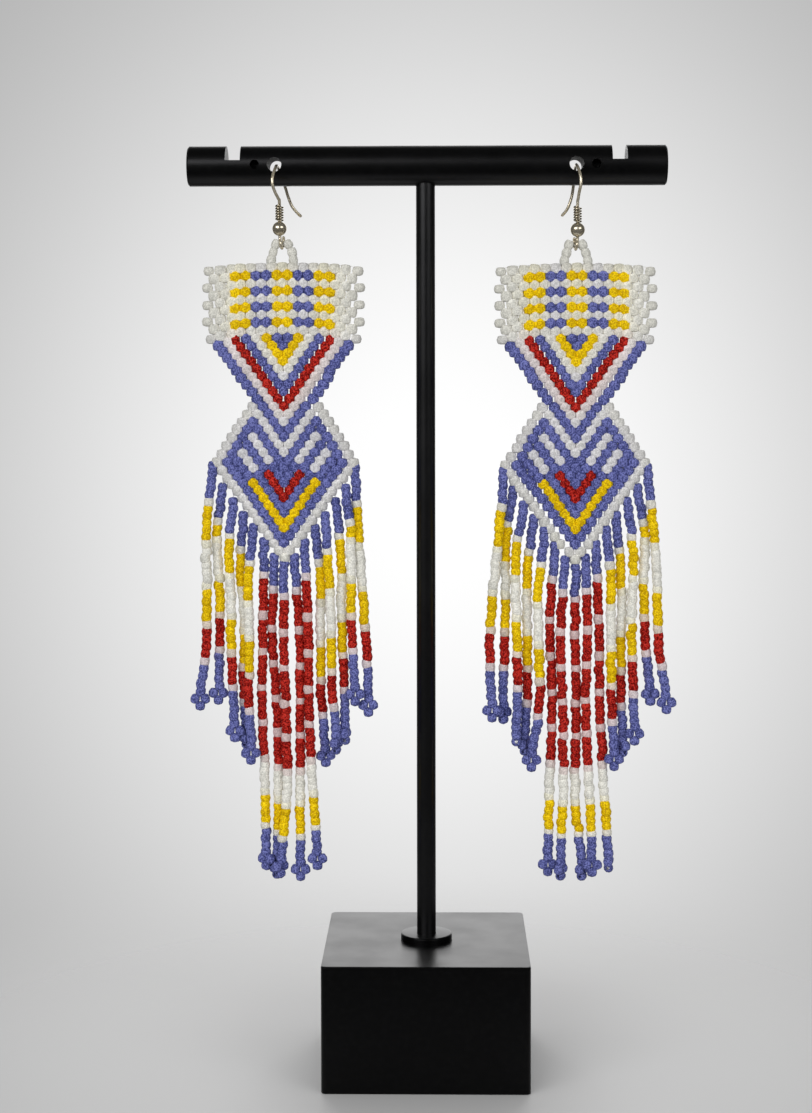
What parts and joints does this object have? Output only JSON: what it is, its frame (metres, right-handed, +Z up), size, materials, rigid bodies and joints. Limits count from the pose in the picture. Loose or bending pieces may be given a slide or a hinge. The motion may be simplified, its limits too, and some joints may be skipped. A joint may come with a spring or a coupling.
{
  "type": "pair of beaded fringe earrings on a T-bar display stand",
  "caption": "Woven seed-bead panels with chevrons and a long bead fringe, hung by wire ear hooks through the bar of a plain black T-bar display stand.",
  "frame": {"origin": "middle of the underside of the stand's square base, on the surface that it stands on", "axes": "+Z up, +X along the bar to the right as seen from the front, -Y towards the viewer"},
  "size_m": [0.1015, 0.0426, 0.1934],
  "materials": {
    "stand_black": "satin black",
    "hook_metal": "polished nickel",
    "beads_frosted": "frosted glass seed beads",
    "beads_panel": "glossy glass seed beads in blue, yellow, red and frosted white",
    "beads_fringe_yellow": "glossy glass seed beads, mostly yellow",
    "beads_fringe_red": "glossy glass seed beads, mostly red"
  },
  "bodies": {
    "root": {"base_block": "stand_black", "base_collar": "stand_black", "post": "stand_black", "t_bar": "stand_black", "left_ear_hook": "hook_metal", "left_hook_coil": "hook_metal", "left_hook_ball": "hook_metal", "left_hanging_loop": "beads_frosted", "left_beaded_panel": "beads_panel", "left_strand_01": "beads_fringe_yellow", "left_strand_02": "beads_fringe_yellow", "left_strand_03": "beads_fringe_yellow", "left_strand_04": "beads_fringe_yellow", "left_strand_05": "beads_fringe_yellow", "left_strand_06": "beads_fringe_red", "left_strand_07": "beads_fringe_red", "left_strand_08": "beads_fringe_red", "left_strand_09": "beads_fringe_red", "left_strand_10": "beads_fringe_red", "left_strand_11": "beads_fringe_yellow", "left_strand_12": "beads_fringe_yellow", "left_strand_13": "beads_fringe_yellow", "left_strand_14": "beads_fringe_yellow", "left_strand_15": "beads_fringe_yellow", "right_ear_hook": "hook_metal", "right_hook_coil": "hook_metal", "right_hook_ball": "hook_metal", "right_hanging_loop": "beads_frosted", "right_beaded_panel": "beads_panel", "right_strand_01": "beads_fringe_yellow", "right_strand_02": "beads_fringe_yellow", "right_strand_03": "beads_fringe_yellow", "right_strand_04": "beads_fringe_yellow", "right_strand_05": "beads_fringe_yellow", "right_strand_06": "beads_fringe_red", "right_strand_07": "beads_fringe_red", "right_strand_08": "beads_fringe_red", "right_strand_09": "beads_fringe_red", "right_strand_10": "beads_fringe_red", "right_strand_11": "beads_fringe_yellow", "right_strand_12": "beads_fringe_yellow", "right_strand_13": "beads_fringe_yellow", "right_strand_14": "beads_fringe_yellow", "right_strand_15": "beads_fringe_yellow"}
  },
  "joints": []
}
